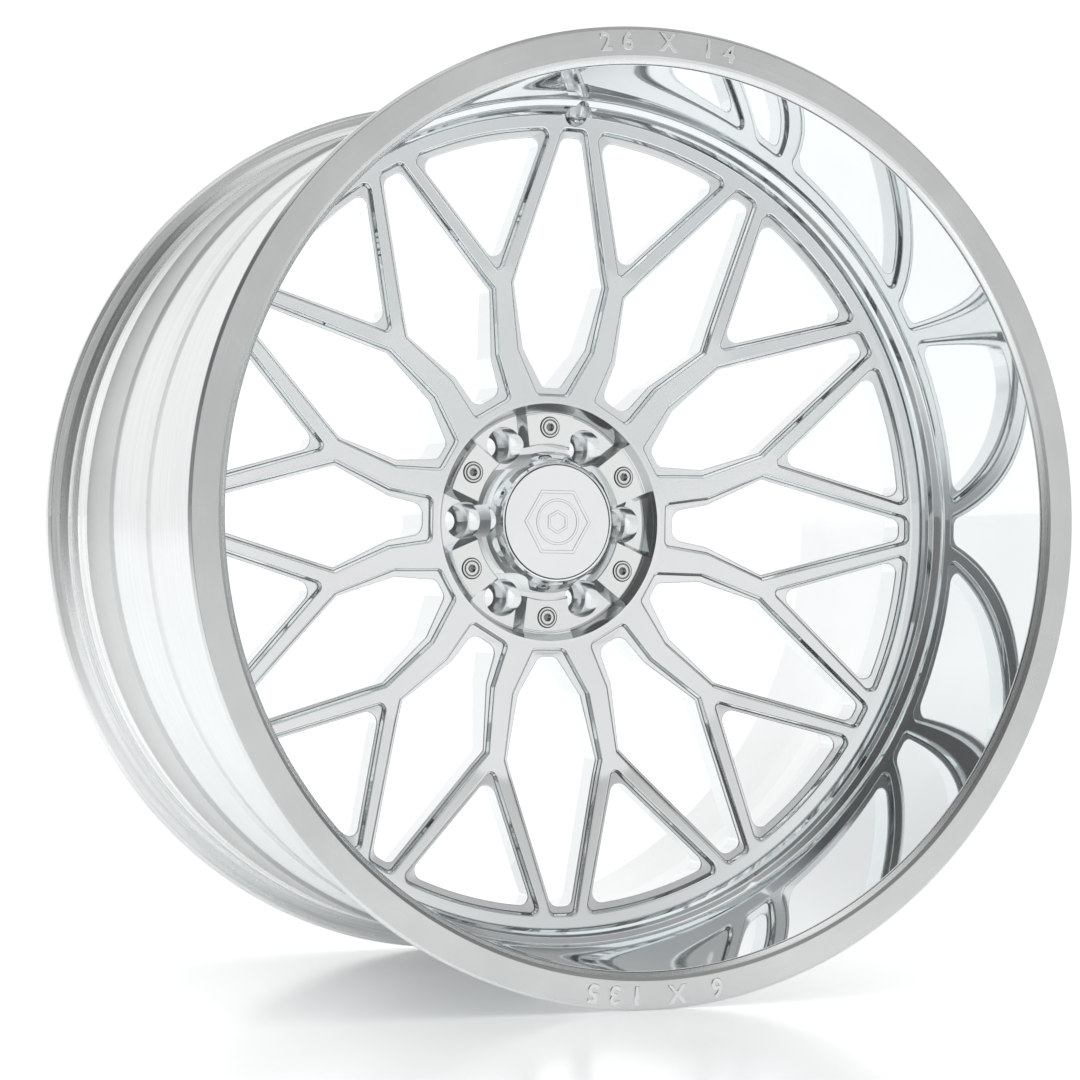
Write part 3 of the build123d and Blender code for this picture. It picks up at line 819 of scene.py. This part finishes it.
def outline(name, loops, raised, rounded):
    # Closed loops of points as one flat curve; the even loops are holes in the odd ones.
    curve = bpy.data.curves.new(name, "CURVE")
    curve.dimensions = "2D"
    curve.fill_mode = "BOTH"
    curve.extrude = raised
    curve.bevel_depth = rounded
    curve.bevel_resolution = 1
    for loop in loops:
        spline = curve.splines.new("POLY")
        spline.points.add(len(loop) - 1)
        flatLoop = np.concatenate([loop, np.zeros((len(loop), 1)), np.ones((len(loop), 1))], 1)
        spline.points.foreach_set("co", flatLoop.ravel())
        spline.use_cyclic_u = True
    return curve


def ringPoints(radius, sides, turnBy=0.0):
    # Corners of a regular polygon; many sides make a circle.
    a = np.linspace(0, 2 * math.pi, sides, endpoint=False) + turnBy
    return radius * np.stack([np.cos(a), np.sin(a)], -1)


scene = bpy.context.scene
for name, text, angle in (("size_mark_top", "26 X 14", 90.0), ("size_mark_bottom", "6 X 135", 270.0)):
    flatPart(name, letters(name, text), (angle, marks["radius"]), -halfWidth, -marks["sunk"],
             [mats["markFace"], mats["mirror"]], "wheel")
# Three pairs of loops: an outer hexagon, a circle and a small hexagon, each a thin raised line.
emblem = {"raise": 0.2, "round": 0.28, "sunk": 0.15,
          "loops": [(27.5, 6, 0.0), (25.3, 6, 0.0), (17.5, 64, 0.0), (16.0, 64, 0.0), (9.0, 6, math.pi / 6),
                    (7.2, 6, math.pi / 6)]}
emblemCurve = outline("emblem", [ringPoints(*v) for v in emblem["loops"]], emblem["raise"], emblem["round"])
flatPart("cap_emblem", emblemCurve, None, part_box("cap_disc")[0][1] / mm, -emblem["sunk"],
         [mats["discSatin"], mats["emblemLine"]], "cap")


# ---- CAD nodes that stay get their finishes
finishes = {"hub_centre": "hubPolish", "centre_cap": "chrome", "cap_disc": "discSatin", "cap_seal": "rubber",
            "cap_retaining_ring": "springSteel"}
finishes.update({f"pad_screw_{i}": "screwSteel" for i in range(1, 7)})
for name, finish in finishes.items():
    for slot in nodes[name].material_slots:
        slot.material = mats[finish]

# ---- floor, light and camera
floorZ = rimBox[0][2]
floorMesh = bpy.data.meshes.new("floor")
floorReach = 40.0
floorCorners = [(x * floorReach, y * floorReach, floorZ) for x, y in ((-1, -1), (1, -1), (1, 1), (-1, 1))]
floorMesh.from_pydata(floorCorners, [], [(0, 1, 2, 3)])
floor = bpy.data.objects.new("floor", floorMesh)
scene.collection.objects.link(floor)
floorMat = bpy.data.materials.new("paleFloor")
floorMat.use_nodes = True
# The floor pales from a light grey, well in front of the wheel, to white under it: painted shade on the floor
# in front of the wheel.
floorTree = floorMat.node_tree
floorBsdf = floorTree.nodes["Principled BSDF"]
floorAt = node(floorTree, "ShaderNodeTexCoord").outputs["Object"]
forward = node(floorTree, "ShaderNodeSeparateXYZ", {0: floorAt}).outputs[1]
frontShade = mapRange(floorTree, forward, -1.7, -0.65, 0.0, 1.0)
pale = node(floorTree, "ShaderNodeMix",
            {0: frontShade, 6: (0.5, 0.51, 0.515, 1), 7: (0.93, 0.94, 0.94, 1)}, data_type="RGBA")
floorTree.links.new(pale.outputs[2], floorBsdf.inputs["Base Color"])
floorBsdf.inputs["Roughness"].default_value = 0.16
floorTree.links.new(pale.outputs[2], floorBsdf.inputs["Emission Color"])
floorBsdf.inputs["Emission Strength"].default_value = 0.16
floorMesh.materials.append(floorMat)

world = bpy.data.worlds.new("studio")
scene.world = world
world.use_nodes = True
sky = world.node_tree
skyLook = {
    # (height from straight down to straight up as 0..1, brightness) behind the wheel and in front of it
    "back": [(0.0, 1.0), (0.66, 1.0), (0.74, 0.9), (0.82, 0.6), (1.0, 0.45)],
    "front": [(0.0, 0.85), (0.50, 0.86), (0.61, 0.82), (0.66, 0.50), (0.80, 0.4), (1.0, 0.34)],
    # (azimuth from behind, round the left, the front and the right, as 0..1, factor)
    "round": [(0.0, 1.0), (0.25, 1.0), (0.30, 0.24), (0.445, 0.18), (0.485, 0.9), (0.50, 1.0), (0.65, 1.0),
              (0.675, 0.3), (0.715, 0.3), (0.74, 1.0), (1.0, 1.0)],
    "strength": 1.05,
}


def skyRamp(value, stops):
    n = node(sky, "ShaderNodeValToRGB", {0: value})
    e = n.color_ramp.elements
    while len(e) < len(stops):
        e.new(0.5)
    for k, (at, v) in zip(e, stops):
        k.position = at
        k.color = (v, v, v, 1)
    return n.outputs[0]


way = node(sky, "ShaderNodeTexCoord").outputs["Generated"]
wayX, wayY, wayZ = node(sky, "ShaderNodeSeparateXYZ", {0: way}).outputs
height = mapRange(sky, wayZ, -1, 1, 0, 1)
behind = mapRange(sky, wayY, -0.25, 0.25, 0, 1)
azimuth = math1(sky, "ARCTAN2", wayX, math1(sky, "MULTIPLY", wayY, -1.0))
azimuth = mapRange(sky, azimuth, -math.pi, math.pi, 0, 1)
blend = node(sky, "ShaderNodeMix", {0: behind}, data_type="RGBA")
sky.links.new(skyRamp(height, skyLook["front"]), blend.inputs[6])
sky.links.new(skyRamp(height, skyLook["back"]), blend.inputs[7])
product = node(sky, "ShaderNodeMix", {0: 1.0}, data_type="RGBA", blend_type="MULTIPLY")
sky.links.new(blend.outputs[2], product.inputs[6])
sky.links.new(skyRamp(azimuth, skyLook["round"]), product.inputs[7])
# Matt surfaces are lit evenly; only reflections show the studio's dark panels.
matt = node(sky, "ShaderNodeLightPath").outputs["Is Diffuse Ray"]
even = node(sky, "ShaderNodeMix", {0: matt, 6: product.outputs[2], 7: (1, 1, 1, 1)}, data_type="RGBA")
sky.links.new(even.outputs[2], sky.nodes["Background"].inputs[0])
sky.nodes["Background"].inputs[1].default_value = skyLook["strength"]
scene.view_settings.view_transform = "Standard"


def areaLight(name, place, target, size, power):
    # A rectangular light that faces a point.
    data = bpy.data.lights.new(name, "AREA")
    data.shape = "RECTANGLE"
    data.size = size[0]
    data.size_y = size[1]
    data.energy = power
    o = bpy.data.objects.new(name, data)
    scene.collection.objects.link(o)
    d = np.array(target, float) - np.array(place, float)
    o.location = place
    o.rotation_mode = "QUATERNION"
    o.rotation_quaternion = Vector(d).to_track_quat("-Z", "Y")
    return o


areaLight("key", (-0.6, -0.8, 2.6), (0, 0, 0), (3.0, 1.6), 9)

# The camera looks from the wheel's left front at about the height of its middle, turned a little about its
# own axis: place in metres, turn in degrees about X, Y and Z, focal length in millimetres.
view = {"place": (-0.8950, -1.9982, -0.0562), "turn": (91.108, -0.821, -23.917),
        "lens": 94.94, "sensor": 36.0}
camData = bpy.data.cameras.new("camera")
camData.lens = view["lens"]
camData.sensor_width = view["sensor"]
cam = bpy.data.objects.new("camera", camData)
cam.location = view["place"]
cam.rotation_euler = [math.radians(v) for v in view["turn"]]
scene.collection.objects.link(cam)
scene.camera = cam
print("camera placed")
